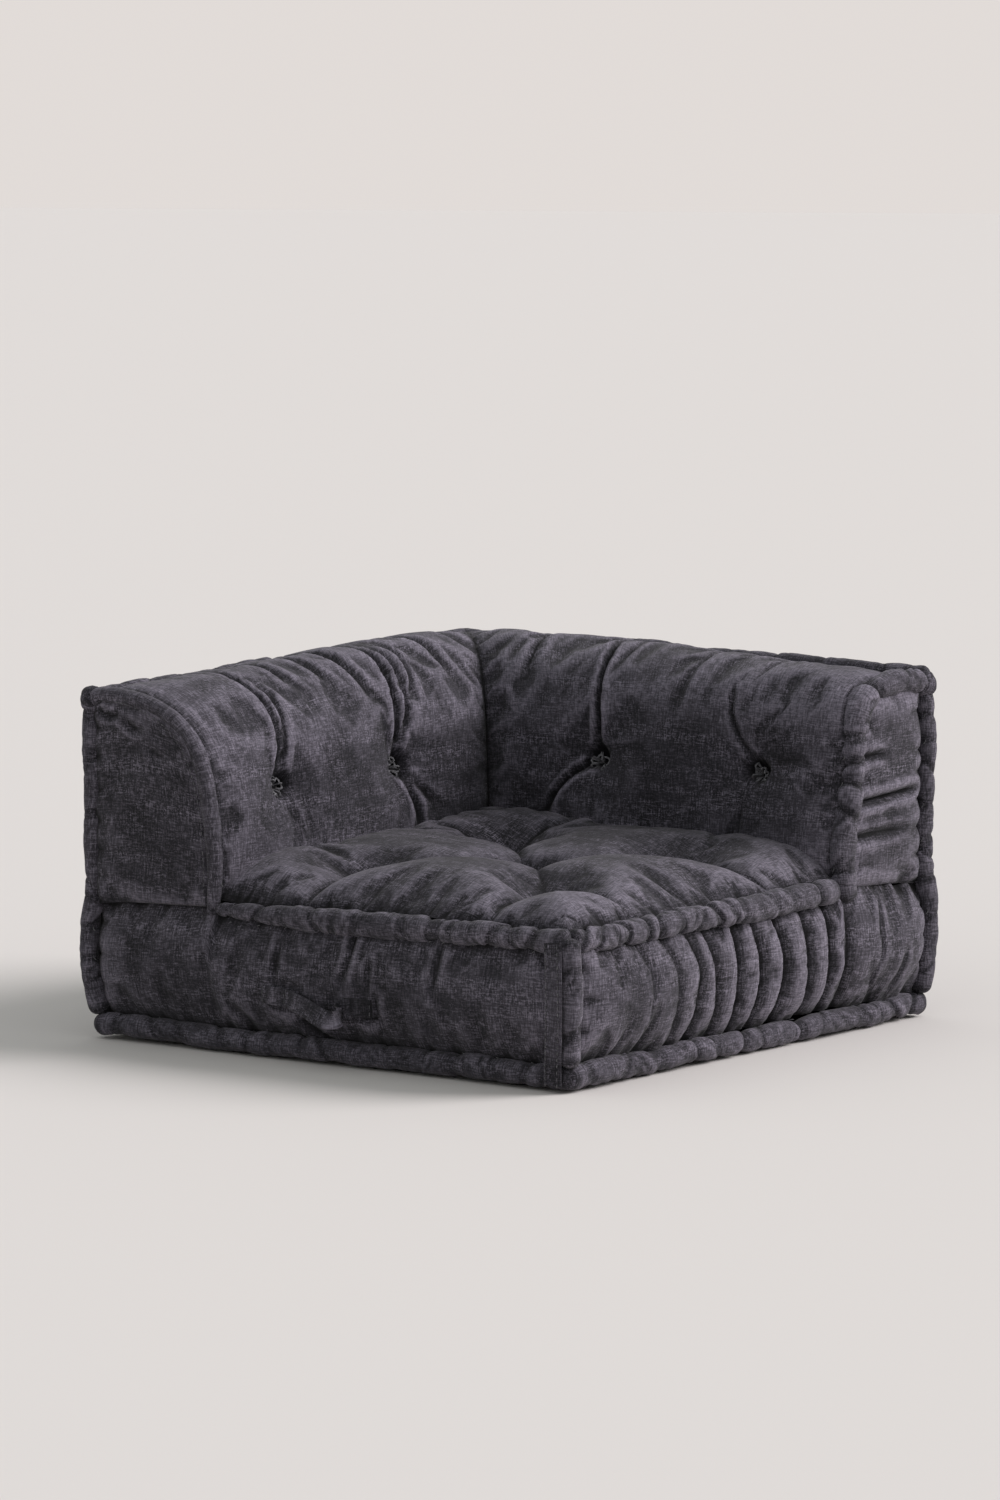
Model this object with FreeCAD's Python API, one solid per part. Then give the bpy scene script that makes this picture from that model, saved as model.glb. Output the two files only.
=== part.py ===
import FreeCAD, Part
import math
import os

# Corner module of a low floor sofa: a stuffed seat block that carries an L-shaped stuffed back.
# Every panel is a quilted pad, every edge is a stuffed roll sewn along it, and twine tied
# through the filling holds a tuft at each end. Millimetres, +Z up, floor at Z = 0, origin under
# the middle of the footprint. The seat opens to the front (-Y) and to the right (+X).

V = FreeCAD.Vector

# Overall sizes. The footprint is square because the module joins two runs at a right angle.
side = 1000.0
back_height = 560.0
corner_rise = 26.0
seam_height = 228.0
back_depth = 270.0

# Rolled edges, and how far they sit inside the fullest height of the corners
roll_radius = 17.0
base_lift = 6.0
base_tuck = 13.0
upper_tuck = 5.0

# Panels
cloth = 3.0
border_fullness = 18.0
border_setback = 4.0
back_fullness = 9.0
back_pad = 30.0
back_lean = 12.0
back_rounding = 130.0
end_pad_bevel = 7.0
seat_pad = 60.0
seat_rounding = 46.0

# Tufts and the twine that ties them
seat_tuft_spacing = 178.0
back_tuft_height = 400.0
back_tuft_near_end = -300.0
back_tuft_near_corner = 12.0
tuft_radius = 11.0
tuft_crown_radius = 8.0
tuft_thickness = 5.0
twine_radius = 1.5
twine_bore = 2.2
seat_dimple_depth = 44.0
seat_dimple_radius = 84.0
inner_dimple_depth = 21.0
inner_dimple_radius = 48.0
outer_dimple_depth = 8.0
outer_dimple_radius = 30.0
pleats = 8
twine_sides = 6
roll_sides = 16
base_tuft_recess = 1.0

# Strap handle on the front border
strap_width = 28.0
strap_thickness = 3.0
strap_tab = 50.0
strap_free_span = 116.0
strap_reach = 38.0
strap_droop = 45.0
strap_tack_radius = 2.0
strap_tack_length = 6.0
strap_stand_off = 1.2
handle_height = 102.0
handle_middle = 4.0

# Flat tape beside the roll on the front right corner
tape_width = 30.0
tape_thickness = 2.0

# Clearances: panel to panel, roll to panel, tuft to its hole
fit_gap = 0.3
seam_gap = 0.8
tuft_gap = 0.8

# Axes of the rolls, measured outward from the middle of the footprint
half = side / 2
widest_axis = half - border_fullness - border_setback
base_axis = widest_axis - base_tuck
upper_axis = widest_axis - upper_tuck
corner_waist = (base_lift + 2 * roll_radius + seam_height) / 2

# Planes that the panels and the filling share
roll_band = 2 * roll_radius + seam_gap
base_inner = base_axis - roll_radius - seam_gap
upper_inner = upper_axis - roll_radius - seam_gap
back_outer = upper_axis + roll_radius
seat_edge = back_outer - back_depth
border_bottom = base_lift + roll_band
border_top = seam_height - fit_gap
seat_roll_bottom = seam_height - roll_radius - seam_gap
back_bottom = seam_height + fit_gap
back_slope = corner_rise / (2 * upper_axis)
seat_top = seam_height + seat_pad
reach = 2 * side

# Places of the tufts
seat_middle = (back_outer - seat_edge) / 2
seat_tuft_places = [(seat_middle, -seat_middle)]
for sign_x in (-1, 1):
    for sign_y in (-1, 1):
        place = (seat_middle + sign_x * seat_tuft_spacing, -seat_middle + sign_y * seat_tuft_spacing)
        seat_tuft_places.append(place)
back_tuft_places = (back_tuft_near_end, back_tuft_near_corner)

FRONT, RIGHT, REAR, LEFT = 0, 90, 180, 270
UP = V(0, 0, 1)
OUT_LEFT = V(-1, 0, 0)


def block(x0, x1, y0, y1, z0, z1):
    """Box between two corners."""
    return Part.makeBox(x1 - x0, y1 - y0, z1 - z0, V(x0, y0, z0))


def turned(shape, angle):
    """Copy of a front piece turned about the vertical to another side."""
    copy = shape.copy()
    copy.rotate(V(0, 0, 0), UP, angle)
    return copy


def mirrored(shape):
    """Copy of a left-back piece reflected in the mitre plane to the rear back."""
    return shape.mirror(V(0, 0, 0), V(1, 1, 0))


def half_plan(normal_x, normal_y):
    """Everything on one side of a vertical diagonal plane, less half a fit gap."""
    normal = V(normal_x, normal_y, 0)
    normal.normalize()
    across = V(-normal.y, normal.x, 0) * reach
    near = normal * (fit_gap / 2)
    far = normal * reach
    corners = [near - across, near + across, far + across, far - across]
    return flat(corners).extrude(UP * reach)


def chain(points):
    """Straight edges through points."""
    return [Part.LineSegment(a, b).toShape() for a, b in zip(points, points[1:])]


def ring_points(centre, direction, radius, count):
    """Corners of a regular outline round an axis, for thread and for what it passes through."""
    turn = FreeCAD.Rotation(UP, direction)
    angles = [2 * math.pi * i / count for i in range(count)]
    return [centre + turn.multVec(V(math.cos(a), math.sin(a), 0)) * radius for a in angles]


def flat(points):
    """Flat face with straight edges."""
    return Part.Face(Part.makePolygon(points + points[:1]))


def strand(start, end, radius):
    """Twine, or the bore that it passes through."""
    return flat(ring_points(start, end - start, radius, twine_sides)).extrude(end - start)


def stacked(rings):
    """Solid with flat sides through outlines that lie one above the other."""
    faces = [flat(rings[0]), flat(rings[-1])]
    for low, high in zip(rings, rings[1:]):
        faces += [flat([low[i - 1], low[i], high[i], high[i - 1]]) for i in range(len(low))]
    return Part.Solid(Part.Shell(faces))


def knob(base, direction, base_radius, length, tip_radius):
    """Tapered solid with as many flat sides as a dimple has pleats."""
    foot = ring_points(base, direction, base_radius, pleats)
    tip = ring_points(base + direction * length, direction, tip_radius, pleats)
    return stacked([foot, tip])


def hollow(floor, direction, depth, mouth_radius):
    """Dimple drawn into pleats, with a flat floor that takes a tuft."""
    overrun = 2
    floor_radius = tuft_radius + tuft_gap
    mouth = floor_radius + (mouth_radius - floor_radius) * overrun
    return knob(floor, direction, floor_radius, depth * overrun, mouth)


def corner_axis(z):
    """Distance of a lower corner roll's axis from the middle, in X and in Y, at a height."""
    if z < corner_waist:
        return base_axis + base_tuck * (z - border_bottom) / (corner_waist - border_bottom)
    return upper_axis + upper_tuck * (border_top - z) / (border_top - corner_waist)


# Seat block: filling, base cloth and the four borders


def tie_bores(z0, z1):
    """Upright bores for the twine of the seat's tufts."""
    return Part.makeCompound([strand(V(x, y, z0), V(x, y, z1), twine_bore) for x, y in seat_tuft_places])


def tuft_holes(z0, z1):
    """Upright holes round the base's tufts."""
    radius = tuft_radius + tuft_gap
    return Part.makeCompound([knob(V(x, y, z0), UP, radius, z1 - z0, radius) for x, y in seat_tuft_places])


def base_cloth():
    """Flat cloth that the module stands on, with a hole round each tuft."""
    return block(-base_inner, base_inner, -base_inner, base_inner, 0, cloth).cut(tuft_holes(0, cloth))


def seat_core():
    """Filling of the seat block, recessed underneath for the tufts."""
    core = block(-base_inner, base_inner, -base_inner, base_inner, cloth + fit_gap, border_top)
    core = core.cut(tie_bores(0, seam_height))
    return core.cut(tuft_holes(0, base_tuft_recess + tuft_thickness + fit_gap))


border_edge = V(0, -base_axis - border_setback, border_bottom)
border_swell = V(0, -half, corner_waist)
border_head = V(0, -upper_axis - border_setback, border_top)


def border_arc():
    """Swelling outline of the front border, seen from the side."""
    return Part.Arc(border_edge, border_swell, border_head).toShape()


def border_y(z):
    """Place of the front border's outer face at a height."""
    circle = border_arc().Curve
    return circle.Center.y - math.sqrt(circle.Radius**2 - (z - circle.Center.z) ** 2)


def border_ends():
    """Upright region between the two corner rolls of a border."""
    heights = (border_bottom, corner_waist, border_top)
    right = [V(corner_axis(z) - roll_radius - seam_gap, -side, z) for z in heights]
    left = [V(-p.x, p.y, p.z) for p in reversed(right)]
    return flat(right + left).extrude(V(0, side, 0))


def border():
    """Quilted border of one side, from the base roll up to the seam."""
    back_y = -base_inner - fit_gap
    back = [border_head, V(0, back_y, border_top), V(0, back_y, border_bottom), border_edge]
    solid = Part.Face(Part.Wire([border_arc()] + chain(back))).extrude(V(side, 0, 0))
    solid.translate(V(-half, 0, 0))
    return solid.common(border_ends()).common(half_plan(1, -1)).common(half_plan(-1, -1))


def front_border():
    """Border with its top cut down to pass under the seat's front roll."""
    return border().cut(block(-seat_edge, side, -side, 0, seat_roll_bottom, side))


def right_border():
    """Border with its top cut down to pass under the seat's right roll."""
    return turned(border().cut(block(-side, seat_edge, -side, 0, seat_roll_bottom, side)), RIGHT)


# Seat top


seat_floor = seat_top - seat_dimple_depth


def seat_top_panel():
    """Quilted seat cover with rounded edges and five dimples."""
    low = seam_gap - seat_edge
    panel = block(low, upper_inner, -upper_inner, -low, seam_height, seat_top)
    rim = [edge for edge in panel.Edges if edge.BoundBox.ZMin > seat_top - fit_gap]
    panel = panel.makeFillet(seat_rounding, rim)
    for place in seat_tuft_places:
        floor = V(*place, seat_floor)
        panel = panel.cut(hollow(floor, UP, seat_dimple_depth, seat_dimple_radius))
    return panel.cut(tie_bores(0, side))


# Back: filling, quilted panels and end panels, drawn for the left back


class BackProfile:
    """Cross-section of the back: a leaning inner face, a rounded edge and a level top."""

    def __init__(self, inset):
        foot = V(back_depth, seam_height, 0)
        apex = V(back_depth - back_lean, back_height, 0)
        self.down = (foot - apex).normalize()
        level = V(-1, 0, 0)
        bisector = (self.down + level).normalize()
        half_angle = self.down.getAngle(level) / 2
        centre = apex + bisector * (back_rounding / math.sin(half_angle))
        radius = back_rounding - inset
        self.start = centre + V(-self.down.y, self.down.x, 0) * radius
        self.middle = centre - bisector * radius
        self.end = centre + V(0, radius, 0)

    def points(self, bottom, top_end):
        """Foot, start, middle and end of the rounding, and end of the top."""
        foot = self.start + self.down * ((bottom - self.start.y) / self.down.y)
        return [foot, self.start, self.middle, self.end, V(top_end, self.end.y, 0)]


def placed(points, y):
    """Cross-section points stood up across the left back."""
    return [V(p.x - back_outer, y, p.y) for p in points]


def curve(points):
    """Edges along the inner face, round the edge and along the top."""
    foot, start, middle, end, tip = points
    edge = Part.Arc(start, middle, end).toShape()
    return chain([foot, start]) + [edge] + chain([end, tip])


def drawn_to_corner(outline):
    """Cross-section drawn along the left back, rising with it, and mitred at the corner."""
    solid = Part.Face(outline).extrude(V(0, 2 * side, 0))
    solid.translate(V(0, -half, 0))
    solid.rotate(V(0, -upper_axis, back_height), V(1, 0, 0), math.degrees(math.atan(back_slope)))
    solid = solid.common(block(-side, side, -upper_inner, side, seam_height, side))
    return solid.common(half_plan(-1, -1))


below_seam = seam_height - 3 * corner_rise
outer_limit = back_outer - upper_inner


def level_strand(y, x0, x1, radius):
    """Level twine or bore through the left back."""
    return strand(V(x0, y, back_tuft_height), V(x1, y, back_tuft_height), radius)


def back_core():
    """Filling of the left back, bored for the twine."""
    points = placed(BackProfile(back_pad + fit_gap).points(below_seam, outer_limit), -upper_inner)
    corner = V(points[-1].x, points[-1].y, below_seam)
    core = drawn_to_corner(Part.Wire(curve(points) + chain([points[-1], corner, points[0]])))
    for y in back_tuft_places:
        core = core.cut(level_strand(y, 0, -side, twine_bore))
    return core


def inner_floor():
    """X of the flat bottom of the dimples in the left back's inner panel."""
    return -seat_edge - inner_dimple_depth


def outer_face_x():
    """X of the outer face of the left back's outer panel at its edges."""
    return -upper_axis - border_setback


def outer_floor():
    """X of the flat bottom of the dimples in the left back's outer panel."""
    return outer_face_x() + outer_dimple_depth - back_fullness


def inner_panel():
    """Quilted panel over the inner face and the top, dimpled at the tufts."""
    outer = placed(BackProfile(0).points(below_seam, outer_limit), -upper_inner)
    inner = placed(BackProfile(back_pad).points(below_seam, outer_limit), -upper_inner)
    ends = chain([outer[-1], inner[-1]]) + chain([inner[0], outer[0]])
    panel = drawn_to_corner(Part.Wire(Part.__sortEdges__(curve(outer) + curve(inner) + ends)))
    for y in back_tuft_places:
        floor = V(inner_floor(), y, back_tuft_height)
        panel = panel.cut(hollow(floor, V(1, 0, 0), inner_dimple_depth, inner_dimple_radius))
        panel = panel.cut(level_strand(y, 0, -side, twine_bore))
    return panel


def outer_panel():
    """Quilted panel on the outside of the left back, rising to the corner."""
    edge_x = outer_face_x()
    back_x = -upper_inner - fit_gap
    top = back_height - roll_band + corner_rise
    middle = (back_bottom + back_height - roll_band) / 2
    ends = [V(edge_x, -upper_inner, z) for z in (back_bottom, top)]
    swell = Part.Arc(ends[0], V(edge_x - back_fullness, -upper_inner, middle), ends[1]).toShape()
    back = [ends[1], V(back_x, -upper_inner, top), V(back_x, -upper_inner, back_bottom), ends[0]]
    panel = Part.Face(Part.Wire([swell] + chain(back))).extrude(V(0, 2 * upper_inner, 0))
    panel = panel.cut(above_back_roll())
    for y in back_tuft_places:
        floor = V(outer_floor(), y, back_tuft_height)
        panel = panel.cut(hollow(floor, OUT_LEFT, outer_dimple_depth, outer_dimple_radius))
        panel = panel.cut(level_strand(y, 0, -side, twine_bore))
    return panel


def above_back_roll():
    """Everything above the sloping underside of the left back's top roll."""
    low = back_height - roll_band
    foot = V(-side, -upper_axis, low)
    head = V(-side, upper_axis, low + corner_rise)
    corners = [foot, head, head + UP * side, foot + UP * side]
    return flat(corners).extrude(V(side, 0, 0))


def end_panel():
    """Upright quilted panel inside the roll at the end of the left back."""
    back_y = -upper_inner - fit_gap
    front_y = -upper_axis - border_setback
    points = placed(BackProfile(roll_band).points(back_bottom, roll_band), back_y)
    corner = V(points[-1].x, back_y, back_bottom)
    outline = Part.Wire(curve(points) + chain([points[-1], corner, points[0]]))
    panel = Part.Face(outline).extrude(V(0, front_y - back_y, 0))
    rim = [edge for edge in panel.Edges if edge.BoundBox.YMax < front_y + fit_gap]
    return panel.makeChamfer(end_pad_bevel, rim)


# Rolled edges


def rod(start, end):
    """Straight stuffed roll."""
    return Part.makeCylinder(roll_radius, (end - start).Length, start, end - start)


def base_roll():
    """Front roll round the base, mitred at both corners."""
    z = base_lift + roll_radius
    roll = rod(V(-half, -base_axis, z), V(half, -base_axis, z))
    return roll.common(half_plan(1, -1)).common(half_plan(-1, -1))


def seat_roll_front():
    """Roll along the front of the seat, from the back's foot to the mitred corner."""
    roll = rod(V(seam_gap - seat_edge, -upper_axis, seam_height), V(half, -upper_axis, seam_height))
    return roll.common(half_plan(-1, -1))


def lower_corner_roll(top):
    """Upright roll at the front left corner of the seat block, bowed outward at its waist."""
    axis = [V(-corner_axis(z), -corner_axis(z), z) for z in (border_bottom, corner_waist, top)]
    return stacked([ring_points(point, UP, roll_radius, roll_sides) for point in axis])


def upper_corner_roll(rise):
    """Upright roll at an outer corner of the back."""
    return Part.makeCylinder(roll_radius, back_height + rise - roll_band - back_bottom, V(0, 0, back_bottom))


def back_roll():
    """Roll along the outer top edge of the left back: a round end at the front, a mitre at the corner."""
    start = V(-upper_axis, -upper_axis, back_height - roll_radius)
    corner = V(-upper_axis, upper_axis, back_height + corner_rise - roll_radius)
    along = (corner - start).normalize()
    across = OUT_LEFT * roll_radius
    beyond = corner + along * (2 * roll_radius)
    nose = start - along * roll_radius
    shoulder = start + across
    turn = Part.Arc(nose, start + (across - along * roll_radius) * math.sqrt(0.5), shoulder).toShape()
    outline = [turn] + chain([shoulder, beyond + across, beyond, nose])
    roll = Part.Face(Part.Wire(outline)).revolve(start, along, 360)
    return roll.common(half_plan(-1, -1))


def end_roll():
    """Roll round the end of the left back: up the inner face, round the edge and along the top."""
    points = placed(BackProfile(roll_radius).points(back_bottom - roll_radius, roll_band), -upper_axis)
    path = Part.Wire(curve(points))
    disc = flat(ring_points(points[0], points[1] - points[0], roll_radius, roll_sides))
    return path.makePipe(disc).common(block(-side, side, -side, side, back_bottom, side))


def front_corner_tape():
    """Flat tape down the front border beside the right corner roll."""
    strip = border_sheet(tape_thickness)
    edge = base_inner - seam_gap
    return strip.common(block(edge - tape_width, edge, -side, 0, border_bottom, seat_roll_bottom))


# Tufts and twine


def tuft(base, direction):
    """Knot of cotton that narrows to its crown."""
    return knob(base, direction, tuft_radius, tuft_thickness, tuft_crown_radius)


def seat_tufts():
    """Tufts in the dimples of the seat."""
    return Part.makeCompound([tuft(V(*place, seat_floor), UP) for place in seat_tuft_places])


def base_tufts():
    """Tufts under the seat block, clear of the floor."""
    top = base_tuft_recess + tuft_thickness
    return Part.makeCompound([tuft(V(*place, top), UP * -1) for place in seat_tuft_places])


def seat_tuft_ties():
    """Twine between the seat's tufts and the base's."""
    start = base_tuft_recess + tuft_thickness
    ties = [strand(V(x, y, start), V(x, y, seat_floor), twine_radius) for x, y in seat_tuft_places]
    return Part.makeCompound(ties)


def back_inner_tufts():
    """Tufts on the seat's side of the left back."""
    bases = [V(inner_floor(), y, back_tuft_height) for y in back_tuft_places]
    return Part.makeCompound([tuft(base, V(1, 0, 0)) for base in bases])


def back_outer_tufts():
    """Tufts on the outside of the left back."""
    bases = [V(outer_floor(), y, back_tuft_height) for y in back_tuft_places]
    return Part.makeCompound([tuft(base, OUT_LEFT) for base in bases])


def back_tuft_ties():
    """Twine through the left back."""
    ties = [level_strand(y, inner_floor(), outer_floor(), twine_radius) for y in back_tuft_places]
    return Part.makeCompound(ties)


# Strap handle


def border_sheet(thickness):
    """Layer of cloth that lies on the front border."""
    arc = border_arc()
    arc.translate(V(-half, -fit_gap, 0))
    return arc.extrude(V(side, 0, 0)).extrude(V(0, -thickness, 0))


def strap_tab_piece(x0, x1):
    """Sewn-down end of the strap."""
    low = handle_height - strap_width / 2
    return border_sheet(strap_thickness).common(block(x0, x1, -side, 0, low, low + strap_width))


def handle_pivot():
    """Middle of the line that the loop swings on: the top edge of the strap between its tacks."""
    top = handle_height + strap_width / 2
    return V(handle_middle, border_y(top) - strap_stand_off - strap_thickness / 2, top)


def handle_loop():
    """Free part of the strap: flat at both ends, slack and drooping between, tacked at its top corners."""
    pivot = handle_pivot()
    low = handle_height - strap_width / 2
    hang = V(0, border_y(low) - border_y(pivot.z), -strap_width).normalize()
    outward = FreeCAD.Rotation(V(1, 0, 0), strap_droop).multVec(V(0, -1, 0))
    spots = 12
    faces = {-1: [], 1: []}
    for i in range(spots + 1):
        turn = math.pi * i / spots
        slope = strap_reach * math.pi / strap_free_span * math.sin(2 * turn)
        across = (outward - V(slope, 0, 0)).normalize() * (strap_thickness / 2)
        spot = pivot + V((i / spots - 0.5) * strap_free_span, 0, 0)
        spot += outward * (strap_reach * math.sin(turn) ** 2)
        for face in faces:
            faces[face].append(spot + across * face)
    band = flat(faces[-1] + faces[1][::-1]).extrude(hang * strap_width)
    for end in (-1, 1):
        start = pivot + V(end * strap_free_span / 2, 0, 0)
        band = band.fuse(Part.makeCylinder(strap_tack_radius, strap_tack_length, start, V(-end, 0, 0)))
    return band


def save(name, shape):
    """Write one sub-part."""
    shape.exportStep(f"parts/{name}.step")


os.makedirs("parts", exist_ok=True)

save("base_cloth", base_cloth())
save("seat_core", seat_core())
save("seat_top_panel", seat_top_panel())
save("front_border", front_border())
save("right_border", right_border())
save("rear_border", turned(border(), REAR))
save("left_border", turned(border(), LEFT))

save("left_back_core", back_core())
save("left_back_inner_panel", inner_panel())
save("left_back_outer_panel", outer_panel())
save("left_back_end_panel", end_panel())
save("rear_back_core", mirrored(back_core()))
save("rear_back_inner_panel", mirrored(inner_panel()))
save("rear_back_outer_panel", mirrored(outer_panel()))
save("rear_back_end_panel", mirrored(end_panel()))

for side_name, angle in (("front", FRONT), ("right", RIGHT), ("rear", REAR), ("left", LEFT)):
    save(f"base_roll_{side_name}", turned(base_roll(), angle))
save("seat_roll_front", seat_roll_front())
save("seat_roll_right", mirrored(seat_roll_front()))
save("corner_roll_front_right", turned(lower_corner_roll(seat_roll_bottom), RIGHT))
for corner_name, angle, rise in (("front_left", 0, 0), ("rear_left", 270, corner_rise), ("rear_right", 180, 0)):
    save(f"corner_roll_{corner_name}_lower", turned(lower_corner_roll(border_top), angle))
    upper = upper_corner_roll(rise)
    upper.translate(V(-upper_axis, -upper_axis, 0))
    save(f"corner_roll_{corner_name}_upper", turned(upper, angle))
save("back_roll_left", back_roll())
save("back_roll_rear", mirrored(back_roll()))
save("end_roll_left_back", end_roll())
save("end_roll_rear_back", mirrored(end_roll()))
save("front_corner_tape", front_corner_tape())

save("seat_tufts", seat_tufts())
save("base_tufts", base_tufts())
save("seat_tuft_ties", seat_tuft_ties())
save("left_back_inner_tufts", back_inner_tufts())
save("left_back_outer_tufts", back_outer_tufts())
save("left_back_tuft_ties", back_tuft_ties())
save("rear_back_inner_tufts", mirrored(back_inner_tufts()))
save("rear_back_outer_tufts", mirrored(back_outer_tufts()))
save("rear_back_tuft_ties", mirrored(back_tuft_ties()))

loop_start = handle_middle - strap_free_span / 2 - fit_gap
loop_end = handle_middle + strap_free_span / 2 + fit_gap
save("handle_tab_left", strap_tab_piece(loop_start - strap_tab, loop_start))
save("handle_tab_right", strap_tab_piece(loop_end, loop_end + strap_tab))
save("handle_loop", handle_loop())
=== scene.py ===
import math
import bpy
import numpy as np
from mathutils import Matrix, Vector


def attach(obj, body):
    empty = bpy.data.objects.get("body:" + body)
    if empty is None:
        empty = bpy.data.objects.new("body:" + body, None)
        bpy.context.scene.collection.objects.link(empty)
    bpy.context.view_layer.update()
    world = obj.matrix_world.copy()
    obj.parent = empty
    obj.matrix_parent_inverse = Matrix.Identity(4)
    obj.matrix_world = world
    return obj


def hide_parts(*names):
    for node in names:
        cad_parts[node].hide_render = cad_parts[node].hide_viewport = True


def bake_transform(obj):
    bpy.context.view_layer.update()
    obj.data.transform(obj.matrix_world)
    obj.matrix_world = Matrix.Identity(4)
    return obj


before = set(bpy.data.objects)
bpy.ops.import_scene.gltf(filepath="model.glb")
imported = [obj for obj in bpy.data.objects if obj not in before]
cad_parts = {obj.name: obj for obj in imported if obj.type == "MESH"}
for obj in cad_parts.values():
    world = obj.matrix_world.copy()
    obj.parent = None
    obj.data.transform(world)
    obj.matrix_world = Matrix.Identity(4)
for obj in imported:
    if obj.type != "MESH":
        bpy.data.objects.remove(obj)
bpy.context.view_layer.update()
scene = bpy.context.scene

# Sizes in metres. The backs stand on the -X and +Y sides and meet at the rear left corner.
half_side = 0.5
base_axis = 0.465
waist_axis = 0.479
seam_axis = 0.473
base_z = 0.023
waist_z = 0.134
seam_z = 0.228
end_z = 0.543
corner_z = 0.569
base_reach = 0.455
border_low_z = 0.037
border_top_z = 0.224
border_seat = 0.469
border_fullness = 0.031
border_lap = 0.003
border_bow = 0.008
border_undercut = 0.010
corner_tuck = 0.004
end_climb = 0.024
end_drop = 0.006
end_turn = 0.012
end_inset = 0.010
outer_plane = 0.480
outer_reach = 0.472

# Lengths of the flat panels
side_length = 0.94
border_rise = 0.24
seat_length = 0.70
back_length = 0.80
back_rise = 0.53
end_depth = 0.21
end_rise = 0.32
outer_length = 0.93

# Seat pad: its open edges, and the valleys between its tufts
seat_edge = 0.220
seat_middle = 0.135
seat_pitch = 0.178
seat_under_back = 0.008
seat_under_roll = 0.004
pad_start = 0.012
pad_rise = 0.060
pad_shoulder = 0.040
corner_swell = 0.016
corner_spread = 0.24
valley_depth = 0.017
valley_width = 0.026
edge_valley_width = 0.022
edge_valley_length = 0.30

# Rolled edges
roll_radius = 0.0175
base_roll_radius = 0.0185
full_roll_radius = 0.0205
flat_roll_radius = 0.014
tapered_radius = 0.010
knob_top = 0.047
base_knob = 0.046
ear_knob = 0.034
ear = 0.012
rear_roll_lift = 0.010
roll_step = 0.0022
roll_sides = 28
corner_signs = ((1, -1), (1, 1), (-1, 1), (-1, -1))

# Tufts, strap, tape and stitches
tuft_radius = 0.016
tuft_pit = 0.020
thread_radius = 0.0017
loose_end_radius = 0.0008
stitch_radius = 0.0007
stitch_length = 0.006
stitch_gap = 0.004
stitch_lift = 0.0009
stitch_spacing = 0.001
strap_width = 0.029
strap_thickness = 0.0045
tape_width = 0.032
tape_thickness = 0.0045

# Cells of the covers, and how their cloth swells, is pleated, fades on its crests and takes painted shade
# in its hollows
cell = 0.0055
fine_cell = 0.0040
hidden_cell = 0.0080
base_cells = 120
curve_points = 24
noise_cells = 64
swell_frames = 14
held_depth = 0.010
pleat_steep_side = 0.0048
pleat_soft_side = 0.019
fade_reach = 0.014
wide_fade_reach = 2.5 * fade_reach
near_relief = 0.0042
far_relief = 0.020
most_rounds = 200
roll_rubbing = 0.36
map_shift = 0.37

# Lumps of the cloth's colour
thread_size = 0.0026
speckle_size = 0.0030
band_size = 0.028
patch_size = 0.040
cloud_size = 0.085

# Profiles of a back, from the seat up the inner face and over the top: distance from the outer face, height
left_end_profile = [(0.284, 0.226), (0.288, 0.300), (0.281, 0.390), (0.264, 0.455), (0.239, 0.498),
                    (0.206, 0.526), (0.146, 0.550), (0.085, 0.558), (0.044, 0.553), (0.029, 0.545)]
rear_end_profile = [(0.264, 0.226), (0.268, 0.300), (0.252, 0.390), (0.238, 0.460), (0.226, 0.512),
                    (0.204, 0.541), (0.160, 0.553), (0.095, 0.556), (0.044, 0.552), (0.029, 0.545)]
corner_profile = [(0.274, 0.226), (0.270, 0.320), (0.260, 0.420), (0.238, 0.500), (0.192, 0.556),
                  (0.132, 0.580), (0.080, 0.585), (0.044, 0.579), (0.029, 0.571)]

# Where the tufts sit: along and up a back, and on the seat
back_tufts = (-0.300, 0.012)
back_tuft_z = 0.400
seat_centre = np.array([seat_middle, -seat_middle])
square_corners = ((-1, -1), (1, -1), (1, 1), (-1, 1))
seat_tufts = [seat_centre] + [seat_centre + seat_pitch * np.array(c) for c in square_corners]


def smooth(a, b, x):
    """Rises from 0 at a to 1 at b"""
    t = np.clip((x - a) / (b - a), 0, 1)
    return t * t * (3 - 2 * t)


def hump(x, width):
    return np.exp(-((x / width) ** 2))


def noise(x, y, seed):
    """Smooth random field of about -1 to 1, one lump to each unit of x and y"""
    table = np.random.default_rng(seed).uniform(-1, 1, (noise_cells, noise_cells))
    column, row = np.floor(x).astype(int), np.floor(y).astype(int)
    fx, fy = x - column, y - row
    fx, fy = fx * fx * (3 - 2 * fx), fy * fy * (3 - 2 * fy)

    def at(i, j):
        return table[(column + i) % noise_cells, (row + j) % noise_cells]

    low = at(0, 0) * (1 - fx) + at(1, 0) * fx
    high = at(0, 1) * (1 - fx) + at(1, 1) * fx
    return low * (1 - fy) + high * fy


def lengths(points):
    return np.concatenate([[0], np.cumsum(np.linalg.norm(np.diff(points, axis=0), axis=1))])


def spline(points, count):
    """Points spread evenly along a smooth curve through the given ones"""
    p = np.array(points, float)
    padded = np.vstack([2 * p[0] - p[1], p, 2 * p[-1] - p[-2]])
    t = np.linspace(0, 1, curve_points, endpoint=False)[:, None]
    runs = []
    for a, b, c, d in zip(padded, padded[1:], padded[2:], padded[3:]):
        quadratic = 2 * a - 5 * b + 4 * c - d
        cubic = 3 * b - a - 3 * c + d
        runs.append(0.5 * (2 * b + (c - a) * t + quadratic * t**2 + cubic * t**3))
    dense = np.vstack(runs + [p[-1:]])
    s = lengths(dense)
    at = np.linspace(0, s[-1], count)
    return np.stack([np.interp(at, s, dense[:, k]) for k in range(p.shape[1])], axis=1)


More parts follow.
